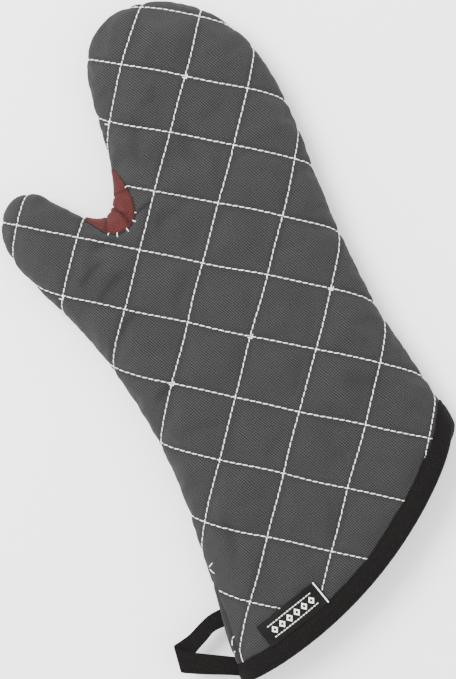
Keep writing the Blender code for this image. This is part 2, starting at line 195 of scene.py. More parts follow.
def run_of(points, steps):
    """Catmull-Rom curve: on each stretch a cubic in t whose ends are the points and whose slopes are half
    the way from each neighbour to the next."""
    ends = np.vstack([2 * points[0] - points[1], points, 2 * points[-1] - points[-2]])
    a, b, c, d = (ends[i:len(points) - 1 + i, None] for i in range(4))
    t = np.linspace(0, 1, steps, endpoint=False)[None, :, None]
    curve = b + ((c - a) * t + (2 * a - 5 * b + 4 * c - d) * t ** 2 + (3 * b - a - 3 * c + d) * t ** 3) / 2
    return np.vstack([curve.reshape(-1, points.shape[1]), points[-1:]])


def unit(vectors):
    return vectors / np.maximum(np.linalg.norm(vectors, axis=-1, keepdims=True), 1e-12)


def eased(share):
    """Rises from 0 to 1 with level ends: 3 s^2 - 2 s^3."""
    share = np.clip(share, 0, 1)
    return share * share * (3 - 2 * share)


def lengths_along(path):
    return np.r_[0, np.cumsum(np.linalg.norm(np.diff(path, axis=0), axis=1))]


def turn_of(vector):
    return math.atan2(vector[1], vector[0])


def in_parts(count):
    """Splits a long row of points, so that their distances to the whole seam fit in memory."""
    return np.array_split(np.arange(count), count // 2000 + 1)


class Seam:
    """The side seam in plan, with a straight tail past each corner: points, inward normals and length."""

    def __init__(self):
        line = run_of(SEAM, SEAM_STEPS)
        reach = np.linspace(0, SEAM_TAIL, 81)[1:, None]
        before = line[0] + unit(line[0] - line[1]) * reach[::-1]
        after = line[-1] + unit(line[-1] - line[-2]) * reach
        self.points = np.vstack([before, line, after])
        way = unit(np.gradient(self.points, axis=0))
        self.inward = np.column_stack([-way[:, 1], way[:, 0]])
        self.along = lengths_along(self.points)
        self.crotch = self.along[self.nearest(np.array([GUARD_START, GUARD_END]))[0]]

    def nearest(self, plan):
        """For each plan point, the index of the closest seam point and the distance inwards from it."""
        index = np.concatenate([
            np.linalg.norm(plan[part, None] - self.points, axis=2).argmin(axis=1)
            for part in in_parts(len(plan))])
        return index, ((plan - self.points[index]) * self.inward[index]).sum(axis=1)

    def depth(self, plan):
        """A distance with no ridges: the inverse cube root of the sum of 1 / distance^4 along the seam."""
        middles = (self.points[1:] + self.points[:-1]) / 2
        steps = np.diff(self.along)
        total = np.concatenate([
            (steps / np.maximum(np.linalg.norm(plan[part, None] - middles, axis=2), 5e-5) ** 4).sum(axis=1)
            for part in in_parts(len(plan))])
        return (math.pi / 2 / total) ** (1 / 3)

    def share_round_crotch(self, index):
        return (self.along[index] - self.crotch[0]) / (self.crotch[1] - self.crotch[0])


class Roll:
    """The rolled edge: a quarter ellipse from the seam to full height, by the length along it. The inset
    is how deep the surface lies in the mitt."""

    def __init__(self, inset=0.0):
        turn = np.linspace(0, math.pi / 2, 400)
        self.inset, self.height = inset, HALF - inset
        self.reach = (ROLL - inset) * (1 - np.cos(turn))
        self.rise = self.height * np.sin(turn)
        self.length = np.r_[0, np.cumsum(np.hypot(np.diff(self.reach), np.diff(self.rise)))]
        self.skirt = self.length[-1] - (ROLL - inset)

    def at(self, length):
        """Distance from the seam and height above mid height, this far round from the seam."""
        past = np.maximum(length - self.length[-1], 0)
        return np.interp(length, self.length, self.reach) + past, np.interp(length, self.length, self.rise)


class Wrapped:
    """Points of the flat pattern, with straight sides as high as the roll's skirt, put round the mitt.

    A point's length round from the seam is its height on the side plus its distance inside the pattern,
    and the roll's ellipse turns that into a distance from the seam and a height. Near the mouth the height
    is pinched by a parabola. The flat cloth goes on past the pattern by what the side takes.
    """

    def __init__(self, plan, side, roll):
        side = np.clip(side, -roll.skirt, roll.skirt)
        self.index, inside = seam.nearest(plan)
        inside = inside - roll.inset
        soft = np.minimum(seam.depth(plan) - roll.inset, 2 * np.maximum(inside, 0))
        depth = inside + (soft - inside) * eased(inside / (3 * MM))
        inward = seam.inward[self.index]
        self.length = np.abs(side) + depth
        reach, rise = roll.at(np.maximum(self.length, 0))
        place = plan + inward * ((reach - depth) * np.clip(1.3 - depth / ROLL, 0, 1))[:, None]
        from_mouth = BOUND_RADIUS - np.linalg.norm(place - MOUTH, axis=-1)
        rise = rise * (1 - PINCH * (1 - np.clip(from_mouth / PINCH_LENGTH, 0, 1)) ** 2)
        rise = np.where(side < 0, -rise * (1 - PALM_LIFT / HALF), rise)
        self.places = np.column_stack([place, HALF + rise])
        self.length = np.where(side < 0, -self.length, self.length)
        left = seam.along[self.index] > seam.along[-1] / 2
        climb = SEAM_CLIMB * eased((-140 * MM - plan[:, 1]) / (60 * MM)) * left
        self.past_seam = self.length - climb
        cloth = plan + inward * (np.abs(side) - roll.skirt)[:, None]
        beyond = plan - inward * (inside + self.length + roll.skirt)[:, None]
        self.cloth = np.where(((self.past_seam < 0) & (self.length > 0))[:, None], beyond, cloth)


seam = Seam()


def across_of(family):
    return np.array((-math.sin(family["angle"]), math.cos(family["angle"])))


def along_of(family):
    return np.array((math.cos(family["angle"]), math.sin(family["angle"])))


def line_offsets(family, numbers, along):
    """How far out each numbered stitch line lies: evenly spaced, with two slow sine waves along it."""
    numbers = np.asarray(numbers, float)
    straight = family["start"] + family["pitch"] * numbers + family["crowd"] * numbers ** 2
    slow = np.sin(along / (23 * MM) + 2.1 * numbers) + 0.6 * np.sin(along / (9.5 * MM) + 1.3 * numbers)
    turned = family["fan"] * np.maximum(numbers - family["level"], 0) * (along - family["pivot"])
    return straight + turned + WANDER * slow + family["tip"] * (numbers >= TIP_LINE)


def line_distances(cloth, family):
    """Distance across one family of stitch lines, from each point of the flat cloth to its nearest line."""
    along = cloth @ along_of(family)
    away = (cloth @ across_of(family))[:, None] - line_offsets(family, LINES[None], along[:, None])
    return np.abs(away).min(axis=1)


def past_split(flat):
    """Whether each point lies on the fingers' side of the parting."""
    return flat @ across_of(ROWS) > line_offsets(ROWS, SPLIT_ROW, flat @ along_of(ROWS)) + SPLIT_MARGIN


def guard_reach(share):
    """How far in from the seam the web guard reaches, this share of the way round the crotch."""
    edge = run_of(GUARD_EDGE, 12)
    return np.interp(share, edge[:, 0], edge[:, 1] * MM, left=0, right=0)


def guard_margin(cloth):
    """How far inside the web guard's edge each point of the flat cloth is. It is negative outside."""
    index, inside = seam.nearest(cloth)
    reach = guard_reach(seam.share_round_crotch(index))
    return np.where(reach > 0, reach - inside, -1.0)


# --- Meshes ---

def new_object(name, mesh):
    thing = bpy.data.objects.new(name, mesh)
    bpy.context.scene.collection.objects.link(thing)
    return thing


def mesh_of(name, points, faces):
    mesh = bpy.data.meshes.new(name)
    mesh.from_pydata(np.asarray(points).tolist(), [], [list(face) for face in faces])
    mesh.update()
    smooth_shade(mesh)
    return mesh


def values_of(collection, key, wide=1, kind=np.float32):
    found = np.empty(len(collection) * wide, kind)
    collection.foreach_get(key, found)
    found = found.astype(float) if kind is np.float32 else found
    return found.reshape(-1, wide) if wide > 1 else found


def corners_of(mesh):
    mesh.calc_loop_triangles()
    return values_of(mesh.loop_triangles, "vertices", 3, np.int32)


def put(mesh, points):
    mesh.vertices.foreach_set("co", np.asarray(points, np.float32).ravel())
    mesh.update()


def store(mesh, name, values):
    if values.ndim == 2 and values.shape[1] == 2:
        values = np.column_stack([values, np.zeros(len(values))])
    kind = "FLOAT_VECTOR" if values.ndim == 2 else "FLOAT"
    field = mesh.attributes.get(name) or mesh.attributes.new(name, kind, "POINT")
    field.data.foreach_set("vector" if values.ndim == 2 else "value", values.astype(np.float32).ravel())


def stored(mesh, name):
    field = mesh.attributes[name]
    wide = field.data_type == "FLOAT_VECTOR"
    return values_of(field.data, "vector" if wide else "value", 3 if wide else 1)


def smooth_shade(mesh):
    mesh.polygons.foreach_set("use_smooth", np.ones(len(mesh.polygons), bool))


def applied(thing, kind, **settings):
    """Puts a modifier on an object and makes its result the object's own mesh."""
    modifier = thing.modifiers.new(kind.title(), kind)
    for key, value in settings.items():
        setattr(modifier, key, value)
    return settled(thing)


def settled(thing):
    """Makes what an object's modifiers give its own mesh."""
    bpy.context.view_layer.update()
    result = bpy.data.meshes.new_from_object(thing.evaluated_get(bpy.context.evaluated_depsgraph_get()))
    result.name = thing.name
    thing.modifiers.clear()
    thing.data = result
    smooth_shade(result)
    return result


def grid_faces(rows, columns, close_rows=False, close_columns=False):
    """Quads of a grid of points, row after row. A closed direction joins its last line to its first."""
    r = np.arange(rows if close_rows else rows - 1)[:, None]
    c = np.arange(columns if close_columns else columns - 1)[None]
    r2, c2 = (r + 1) % rows, (c + 1) % columns
    quads = np.stack(np.broadcast_arrays(
        r * columns + c, r * columns + c2, r2 * columns + c2, r2 * columns + c), axis=-1)
    return quads.reshape(-1, 4)


def facing_out(thing):
    sheet = bmesh.new()
    sheet.from_mesh(thing.data)
    bmesh.ops.recalc_face_normals(sheet, faces=sheet.faces)
    sheet.to_mesh(thing.data)
    sheet.free()
    thing.data.update()
    return thing


def wrapped_form(name, inset, voxel):
    """A hollow mitt at a depth below its outside: the flat pattern's prism, remeshed and wrapped."""
    roll = Roll(inset)
    line = seam.points + seam.inward * inset
    overrun = BOUND_RADIUS + 6 * MM
    inner = line[np.linalg.norm(line - MOUTH, axis=1) < overrun]
    first, last = (turn_of(p - MOUTH) for p in (inner[-1], inner[0]))
    arc = np.linspace(first, last, 80)[1:-1, None]
    outline = np.vstack([inner, MOUTH + overrun * np.hstack([np.cos(arc), np.sin(arc)])])
    count = len(outline)
    points = np.vstack([np.column_stack([outline, np.full(count, z)]) for z in (-roll.skirt, roll.skirt)])
    walls = grid_faces(2, count, close_columns=True)
    caps = [np.arange(count)[::-1], np.arange(count, 2 * count)]
    thing = facing_out(new_object(name, mesh_of(name, points, [*caps, *walls])))
    mesh = applied(thing, "REMESH", mode="VOXEL", voxel_size=voxel)
    beyond = np.linalg.norm(values_of(mesh.vertices, "co", 3)[:, :2] - MOUTH, axis=1) > BOUND_RADIUS - 7 * MM
    cut = bmesh.new()
    cut.from_mesh(mesh)
    cut.verts.ensure_lookup_table()
    bmesh.ops.delete(cut, geom=[cut.verts[i] for i in np.flatnonzero(beyond)], context="VERTS")
    cut.to_mesh(mesh)
    cut.free()
    start = values_of(mesh.vertices, "co", 3)
    form = Wrapped(start[:, :2], start[:, 2], roll)
    put(mesh, form.places)
    store(mesh, "cloth", form.cloth)
    store(mesh, "past_seam", form.past_seam)
    return thing


def simulated(thing, pinned):
    """Lets the cloth swell between its pinned stitch lines, and gives each point's new place."""
    for level in range(1, 11):
        group = thing.vertex_groups.get("pinned") or thing.vertex_groups.new(name="pinned")
        group.add(np.flatnonzero(np.round(pinned * 10) == level).tolist(), level / 10, "REPLACE")
    cloth = thing.modifiers.new("Cloth", "CLOTH")
    cloth.point_cache.frame_start, cloth.point_cache.frame_end = 1, SIMULATED_FRAMES
    for key, value in CLOTH.items():
        setattr(cloth.settings, key, value)
    cloth.settings.effector_weights.gravity = 0
    cloth.settings.vertex_group_mass = "pinned"
    for number in range(1, SIMULATED_FRAMES + 1):
        bpy.context.scene.frame_set(number)
    graph = bpy.context.evaluated_depsgraph_get()
    swollen = values_of(thing.evaluated_get(graph).data.vertices, "co", 3)
    thing.modifiers.clear()
    thing.vertex_groups.clear()
    bpy.context.scene.frame_set(1)
    return swollen


def creased(cloth, past):
    """Depth and painted shade of the creases: each a Gaussian across a slightly bowed line, eased at its ends.
    """
    depth, dark = np.zeros(len(cloth)), np.zeros(len(cloth))
    for start, end, deep, wide in CREASES:
        start, end = np.array(start) * MM, np.array(end) * MM
        way = end - start
        t = ((cloth - start) @ way) / (way @ way)
        bow = 0.04 * np.sin(math.pi * np.clip(t, 0, 1))[:, None] * np.array((-way[1], way[0]))
        off = np.linalg.norm(cloth - start - np.clip(t, 0, 1)[:, None] * way - bow, axis=1)
        ends = eased((t + 0.1) / 0.25) * eased((1.1 - t) / 0.5)
        mark = np.exp(-(off / (wide * MM)) ** 2) * ends * (past > 0)
        depth += deep * MM * mark
        # dark is painted shade in the crease, fuller in narrow creases.
        dark = np.maximum(dark, mark * min(1.0, 1.4 / wide))
    return depth, dark


def quilted_form():
    """The outer cloth: swollen between its stitch lines, and drawn in along them and along the seam.

    A square's height is the product of 1 - (1 - d / reach)^2.4 over the distances d to its rows, its columns
    and the seam. It fades out under the web guard, near the mouth and beside the cuff's thumb corner.
    """
    thing = wrapped_form("quilted_hand", 0.0, SKIN_VOXEL)
    mesh = thing.data
    base = values_of(mesh.vertices, "co", 3)
    out = values_of(mesh.vertex_normals, "vector", 3)
    cloth, past = stored(mesh, "cloth")[:, :2], stored(mesh, "past_seam")
    rows, columns = line_distances(cloth, ROWS), line_distances(cloth, COLUMNS)
    puffed = np.prod([1 - (1 - np.clip(d / PUFF_REACH, 0, 1)) ** 2.4
                      for d in (rows, columns, np.abs(past) * 1.3)], axis=0)
    to_mouth = BOUND_RADIUS - TAPE_WIDTH - np.linalg.norm(base[:, :2] - MOUTH, axis=1)
    free = (1 - eased(guard_margin(cloth) / (4 * MM) + 1)) * eased(to_mouth / (6 * MM))
    index, inside = seam.nearest(base[:, :2])
    corner = (seam.along[index] > seam.along[-1] / 2) * eased((-120 * MM - base[:, 1]) / (40 * MM))
    free *= 1 - 0.85 * corner * (1 - eased((inside - 8 * MM) / (8 * MM)))
    shift = out * (PUFF * puffed * free)[:, None]
    fixed = np.minimum(np.minimum(rows, columns), np.abs(past))
    held = 1 - eased((fixed - 1.2 * MM) / (3 * MM)) * free
    swell = simulated(thing, held) - base
    size = np.linalg.norm(swell, axis=1)
    swell *= (np.minimum(size, SWELL_CAP) / np.maximum(size, 1e-9))[:, None]
    shift = KEPT_PUFF * shift + swell
    put(mesh, base + shift)
    mesh = applied(thing, "SUBSURF", levels=1, render_levels=1)
    place = values_of(mesh.vertices, "co", 3)
    out = values_of(mesh.vertex_normals, "vector", 3)
    cloth, past = stored(mesh, "cloth")[:, :2], stored(mesh, "past_seam")
    to_line = np.minimum(line_distances(cloth, ROWS), line_distances(cloth, COLUMNS))
    drawn, dark = creased(cloth, past)
    drawn += STITCH_GROOVE * np.exp(-(to_line / STITCH_GROOVE_WIDTH) ** 2)
    drawn += SEAM_GROOVE * np.exp(-(past / SEAM_GROOVE_WIDTH) ** 2)
    drawn += GUARD_SINK * eased((guard_margin(cloth) - 0.2 * MM) / (1.2 * MM))
    under_tape = np.linalg.norm(place[:, :2] - MOUTH, axis=1) - BOUND_RADIUS + TAPE_WIDTH
    drawn += UNDER_TAPE * eased(under_tape / (2 * MM))
    # Painted shade along the seam, darkest right at it, where the rolled edge falls away.
    seam_edge_shade = 0.75 * np.exp(-(past / (1.3 * MM)) ** 2) + 0.25 * np.exp(-(past / (7 * MM)) ** 2)
    place -= out * drawn[:, None]
    place[:, 2] = np.maximum(place[:, 2], LOWEST)
    put(mesh, place)
    store(mesh, "stitch", to_line)
    # The crease attribute carries painted shade: in the creases and along the seam.
    store(mesh, "crease", np.maximum(dark, seam_edge_shade))
    return thing


def split_form(thing, name):
    """Parts a cloth along the stitched row: the fingers' side becomes a second object.

    The mesh is laid out flat by its cloth coordinates for the cut, and each point's place is carried along.
    """
    store(thing.data, "place", values_of(thing.data.vertices, "co", 3))
    put(thing.data, stored(thing.data, "cloth"))
    other = new_object(name, thing.data.copy())
    across, along = (Vector((*way, 0)) for way in (across_of(ROWS), along_of(ROWS)))
    at = across * float(line_offsets(ROWS, SPLIT_ROW, ROWS["pivot"]) + SPLIT_MARGIN) + along * ROWS["pivot"]
    normal = (across - along * ROWS["fan"] * (SPLIT_ROW - ROWS["level"])).normalized()
    for piece, clear in ((thing, {"clear_outer": True}), (other, {"clear_inner": True})):
        cut = bmesh.new()
        cut.from_mesh(piece.data)
        bmesh.ops.bisect_plane(cut, geom=[*cut.verts, *cut.edges, *cut.faces], plane_co=at, plane_no=normal,
                               **clear)
        cut.to_mesh(piece.data)
        cut.free()
        put(piece.data, stored(piece.data, "place"))
        piece.data.attributes.remove(piece.data.attributes["place"])
        smooth_shade(piece.data)
    return thing, other


def area_of(p, q):
    return p[:, 0] * q[:, 1] - p[:, 1] * q[:, 0]


class ClothMap:
    """Finds places on the finished cloth from positions on the flat pattern, for each panel."""

    def __init__(self, *things):
        found, start = [], 0
        for mesh in (thing.data for thing in things):
            found.append((values_of(mesh.vertices, "co", 3), values_of(mesh.vertex_normals, "vector", 3),
                          stored(mesh, "cloth") * (1, 1, 0), stored(mesh, "past_seam"),
                          corners_of(mesh) + start))
            start += len(mesh.vertices)
        self.co, self.out, self.flat, past, corners = (np.concatenate(column) for column in zip(*found))
        self.corners, self.trees = {}, {}
        for panel in (1, -1):
            own = corners[(past[corners] * panel > 0).all(axis=1)]
            self.corners[panel] = own
            self.trees[panel] = BVHTree.FromPolygons(self.flat.tolist(), own.tolist())

    def find(self, flat, panel):
        """Place and outward way of each flat position, and whether the panel reaches it."""
        hits = [self.trees[panel].find_nearest((x, y, 0), 1.2 * MM) for x, y in flat.tolist()]
        found = np.array([hit[2] is not None for hit in hits])
        corner = self.corners[panel][[hit[2] or 0 for hit in hits]]
        a, b, c = (self.flat[corner[:, i], :2] for i in range(3))
        whole = area_of(b - a, c - a)
        whole = np.where(np.abs(whole) < 1e-12, 1e-12, whole)
        v, w = area_of(flat - a, c - a) / whole, area_of(b - a, flat - a) / whole
        weights = np.clip(np.column_stack([1 - v - w, v, w]), -0.2, 1.2)[..., None]
        return ((self.co[corner] * weights).sum(axis=1), unit((self.out[corner] * weights).sum(axis=1)), found)


def trees_of(*names):
    meshes = [bpy.data.objects[name].data for name in names]
    return [BVHTree.FromPolygons(values_of(mesh.vertices, "co", 3).tolist(), corners_of(mesh).tolist())
            for mesh in meshes]


def looking_down(trees, plan):
    """What a line straight down meets first at each plan point: its place and outward way, or nothing."""
    down = Vector((0, 0, -1))
    return [max((tree.ray_cast(Vector((x, y, 0.1)), down) for tree in trees),
                key=lambda hit: hit[0].z if hit[0] else -1.0) for x, y in plan.tolist()]


def bend_with(piece):
    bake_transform(piece)


def bend_thumb(piece):
    bend_with(piece)


def bend_fingers(piece):
    bend_with(piece)


def thread_mesh(name, middles, outs, width, height):
    """Short lengths of thread. Each is a row of ovals along its middle line, closed by a cap at each end.

    middles is stitches x stations x 3. The oval's long axis lies in the cloth, its short one along the
    outward way, and both shrink to nothing much at the ends by the root of 1 - u^6.
    """
    count, stations = middles.shape[:2]
    way = unit(np.gradient(middles, axis=1))
    flank = unit(np.cross(way, outs))
    u = np.linspace(-1, 1, stations)
    size = np.sqrt(1 - 0.75 * u ** 6)[None, :, None, None]
    turn = np.linspace(0, 2 * math.pi, THREAD_SIDES, endpoint=False)[None, None, :, None]
    ring = (flank[:, :, None] * np.cos(turn) * width + unit(np.cross(flank, way))[:, :, None]
            * np.sin(turn) * height) * size / 2
    points = (middles[:, :, None] + ring).reshape(-1, 3)
    quads = grid_faces(stations, THREAD_SIDES, close_columns=True)[:, ::-1]
    cap = np.arange(THREAD_SIDES)
    each = stations * THREAD_SIDES
    starts = np.arange(count) * each
    sides = (quads[None] + starts[:, None, None]).reshape(-1, 4)
    caps = [*(cap + starts[:, None]), *((cap[::-1] + each - THREAD_SIDES) + starts[:, None])]
    return mesh_of(name, points, [*sides.tolist(), *(c.tolist() for c in caps)])


def stitch_rows(cloth_map, family, number, panel, sizes):
    """Middle lines and outward ways of the stitches along one line, where the panel's cloth lies.

    Each stitch leans a little across its line, and rises from the cloth and dives back by 1 - u^4.
    """
    pitch = sizes.stitch_length + STITCH_GAP
    starts = np.arange(-STITCH_RUN, STITCH_RUN, pitch)
    u = np.linspace(0, 1, THREAD_STATIONS)
    along = starts[:, None] + STITCH_GAP / 2 + sizes.stitch_length * u
    hands = (starts * 7919 + number * 1.7)[:, None]
    lean = STITCH_LEAN * (2 * u - 1) * (0.7 + 0.6 * np.sin(hands * 3.1)) + STITCH_STRAY * np.sin(hands * 5.3)
    across = line_offsets(family, number, along) + lean
    flat = along[..., None] * along_of(family) + across[..., None] * across_of(family)
    flat = flat.reshape(-1, 2)
    place, out, found = cloth_map.find(flat, panel)
    hidden = guard_margin(flat) > HIDDEN_UNDER_GUARD
    hidden |= np.linalg.norm(place[:, :2] - MOUTH, axis=1) > BOUND_RADIUS - TAPE_WIDTH + HIDDEN_UNDER_TAPE
    keep = (found & ~hidden).reshape(along.shape).all(axis=1)
    place, out = place.reshape(*along.shape, 3), out.reshape(*along.shape, 3)
    lift = (sizes.thread_width * 0.42) * (1 - (2 * u - 1) ** 4) - 0.1 * MM
    steps = np.linalg.norm(np.diff(place, axis=1), axis=2)
    keep &= steps.max(axis=1) < 2.8 * sizes.stitch_length / THREAD_STATIONS
    on_fingers = past_split(flat.reshape(*along.shape, 2)[:, THREAD_STATIONS // 2])
    return (place + out * lift[:, None])[keep], out[keep], on_fingers[keep]


def loose_stitches(trees, sizes):
    """The knots, each a short stitch beside either line of a crossing, and the ticks near the seam. Their
    places are found straight down on the cloth, and each rises from it and dives back by 1 - u^4."""
    ends = [(np.array(a) * MM, np.array(b) * MM) for a, b in TICKS]
    families = (ROWS, COLUMNS)
    for numbers in KNOTS:
        place = np.zeros(2)
        for _ in range(4):
            offsets = [line_offsets(family, number, place @ along_of(family))
                       for family, number in zip(families, numbers)]
            place = np.linalg.solve([across_of(family) for family in families], offsets)
        for family in families:
            middle, reach = place - across_of(family) * KNOT_REACH, along_of(family) * KNOT_REACH * 1.3
            ends.append((middle - reach, middle + reach))
    middles, outs = [], []
    u = np.linspace(0, 1, THREAD_STATIONS)[:, None]
    for start, end in ends:
        hits = looking_down(trees, start + (end - start) * u)
        if all(hit[0] for hit in hits):
            out = np.array([hit[1] for hit in hits])
            middles.append(np.array([hit[0] for hit in hits])
                           + out * (sizes.thread_width * 0.5 * (1 - (2 * u - 1) ** 4) - 0.05 * MM))
            outs.append(out)
    middles, outs = np.array(middles), np.array(outs)
    return middles, outs, past_split(middles[:, THREAD_STATIONS // 2, :2])


def along_mouth(radius, inset, columns):
    """Places once round the mouth at this radius and depth, from mid height at the thumb corner over the
    back and under the palm. The columns say how far round each of the four stretches the points stand."""
    roll = Roll(inset)
    line = seam.points + seam.inward * inset
    away = np.linalg.norm(line - MOUTH, axis=1) - radius
    crossings = np.flatnonzero(np.diff(np.sign(away)))
    half = len(line) // 2
    turns = []
    for where in (crossings[crossings >= half][0], crossings[crossings < half][0]):
        part = away[where] / (away[where] - away[where + 1])
        turns.append(turn_of(line[where] + (line[where + 1] - line[where]) * part - MOUTH))
    turn = turns[0] + (turns[1] - turns[0]) * columns["arc"]
    plan = MOUTH + radius * np.column_stack([np.cos(turn), np.sin(turn)])
    return Wrapped(plan, columns["side"] * roll.skirt, roll)


def mouth_columns():
    """How the points round the mouth are shared out: up the side, over the back, down and under."""
    rise = np.linspace(0, 1, 9)[:-1]
    over = (1 - np.cos(np.linspace(0, math.pi, 121))) / 2 * 0.35 + np.linspace(0, 1, 121) * 0.65
    arc = np.r_[rise * 0, over[:-1], rise * 0 + 1]
    side = np.r_[rise, over[:-1] * 0 + 1, 1 - rise]
    return {"arc": np.r_[arc, 1, arc[::-1][:-1]], "side": np.r_[side, 0, -side[::-1][:-1]]}


def binding_form():
    """A tape folded over the bound edge: its section is carried round the mouth, and its inner edges waver."""
    columns = mouth_columns()
    wall = LINING_DEPTH + 1.4 * MM
    turn = np.linspace(-math.pi / 2, math.pi / 2, 9)[1:-1]
    share = np.linspace(0, 1, 14)
    swell = 0.45 * MM * np.sin(math.pi * np.clip((share - 0.14) / 0.86, 0, 1)) ** 0.7 - 0.35 * MM * np.exp(
        -((share - 0.14) / 0.05) ** 2)
    outer = [(1 - s, -(1.0 * MM + k)) for s, k in zip(share, swell)]
    middle, half = (wall - 1.0 * MM) / 2, (wall + 1.0 * MM) / 2
    fold = [(-0.16 * math.cos(a), middle + half * math.sin(a)) for a in turn]
    thick = 0.8 * MM
    section = [*outer, *fold, (0.0, wall), (0.35, wall), (0.7, wall), (1.0, wall), (1.02, wall - thick / 2),
               (1.0, wall - thick), (0.5, wall - thick), (0.1, wall - thick), (0.06, (wall - thick) / 2),
               (0.1, -0.15 * MM), (0.5, -0.15 * MM), (1.0, -0.15 * MM), (1.03, -0.5 * MM)]
    steps = np.arange(len(columns["arc"]))
    angle = 2 * math.pi * steps / len(steps)
    waver = 0.5 * MM * np.sin(5 * angle + 1) + 0.35 * MM * np.sin(13 * angle) + 0.2 * MM * np.sin(29 * angle)
    rows = []
    for share_in, depth in section:
        radius = BOUND_RADIUS - TAPE_WIDTH * share_in
        form = along_mouth(radius, depth, columns)
        way = unit(form.places[:, :2] - MOUTH)
        places = form.places.copy()
        places[:, :2] += way * (waver * np.clip(share_in, 0, 1) * (1 if depth < 2 * MM else 0.3))[:, None]
        ripple = 0.18 * MM * np.sin(17 * angle + 2) * np.sin(3 * angle) * (depth < 0)
        places[:, 2] += ripple * np.sign(places[:, 2] - HALF)
        rows.append(places)
    points = np.concatenate(rows)
    points[:, 2] = np.maximum(points[:, 2], 0.1 * MM)
    thing = new_object("cuff_binding_tape", mesh_of(
        "cuff_binding_tape", points, grid_faces(len(rows), len(steps), True, True)))
    tape = np.column_stack([np.tile(angle * 60 * MM, len(rows)), np.repeat(
        [s * TAPE_WIDTH for s, _ in section], len(steps))])
    store(thing.data, "cloth", tape)
    facing_out(thing)
    applied(thing, "SUBSURF", levels=1, render_levels=1)
    return thing


def guard_places(share, reach_share):
    """Places on the guard: share of the way round the crotch, and share of its reach on the back, from -1
    at the palm's edge to 1 at the back's."""
    along = seam.crotch[0] + (seam.crotch[1] - seam.crotch[0]) * share
    foot = np.column_stack([np.interp(along, seam.along, seam.points[:, i]) for i in (0, 1)])
    inward = unit(np.column_stack([np.interp(along, seam.along, seam.inward[:, i]) for i in (0, 1)]))
    roll = Roll()
    length = np.abs(reach_share) * (guard_reach(share) + roll.skirt)
    plan = foot + inward * np.maximum(length - roll.skirt, 0)[:, None]
    form = Wrapped(plan, np.minimum(length, roll.skirt) * np.where(reach_share < 0, -1, 1), roll)
    spread = np.column_stack([along, length * np.sign(reach_share)])
    return form.places, spread


def guard_form():
    """The gusset round the crotch: a lens of cloth from the back's edge over the side to the palm's. It
    bulges towards its middle and is drawn in by a Gaussian across each wrinkle."""
    rows, columns = 120, 61
    share = np.repeat(np.linspace(-0.012, 1.012, rows), columns)
    reach = np.tile(np.linspace(-1.06, 1.06, columns), rows)
    points, spread = guard_places(share, reach)
    mesh = mesh_of("web_guard_gusset", points, grid_faces(rows, columns))
    thing = facing_out(new_object("web_guard_gusset", mesh))
    out = values_of(thing.data.vertex_normals, "vector", 3)
    if (out[columns // 2 + columns * (rows // 2)] @ np.array((-0.2, 1, 0))) < 0:
        thing.data.flip_normals()
        out = -out
    edge = 1 - np.abs(reach)
    bulge = GUARD_BULGE * eased(edge / 0.5)
    crease = np.zeros(len(points))
    for at, slant, deep, wide in GUARD_CREASES:
        crease -= deep * np.exp(-((share - at - slant * reach) / wide) ** 2) * eased(edge / 0.15)
    put(thing.data, points + out * (bulge + crease - GUARD_INSET)[:, None])
    # Painted shade along the guard's edge by the hems, and in its wrinkles by their depth, kept in the crease
    # attribute.
    guard_edge_shade = 0.75 * np.exp(-((edge + 0.02) / 0.09) ** 2)
    store(thing.data, "crease", np.clip(guard_edge_shade - crease / FULL_SHADE_DEPTH, 0, 0.8))
    store(thing.data, "cloth", spread)
    applied(thing, "SOLIDIFY", thickness=1.0 * MM, offset=-1)
    return thing


def tube(name, path, outs, width, height, sides=10):
    """An oval tube along a path, its flat side down on the surface that the outward ways come from."""
    way = unit(np.gradient(path, axis=0))
    flank = unit(np.cross(way, outs))
    turn = np.linspace(0, 2 * math.pi, sides, endpoint=False)
    ring = flank[:, None] * np.cos(turn)[None, :, None] * width / 2 + outs[:, None] * np.sin(
        turn)[None, :, None] * height / 2
    fade = np.sqrt(np.clip(1 - np.abs(np.linspace(-1, 1, len(path))) ** 8, 0.02, 1))[:, None, None]
    points = (path[:, None] + ring * fade).reshape(-1, 3)
    caps = [np.arange(sides)[::-1].tolist(), (np.arange(sides) + sides * (len(path) - 1)).tolist()]
    thing = new_object(name, mesh_of(name, points, [*grid_faces(len(path), sides, close_columns=True), *caps]))
    store(thing.data, "cloth", np.column_stack([np.repeat(lengths_along(path), sides),
                                                np.tile(turn * width / 2, len(path))]))
    return facing_out(thing)


def hem_form(side):
    """The turned edge of the outer cloth, along the guard's edge on one panel."""
    share = np.linspace(0.0, 1.0, 160)
    path, inner = (guard_places(share, np.full(160, reach) * side)[0] for reach in (1.0, 1.1))
    way = unit(np.gradient(path, axis=0))
    outs = unit(np.cross(way, inner - path))
    outs *= np.sign((outs * (0, 0, side)).sum(axis=1, keepdims=True) + 1e-9)
    name = "web_guard_hem_back" if side > 0 else "web_guard_hem_palm"
    return tube(name, path - outs * 0.2 * MM, outs, 1.2 * MM, 1.3 * MM)


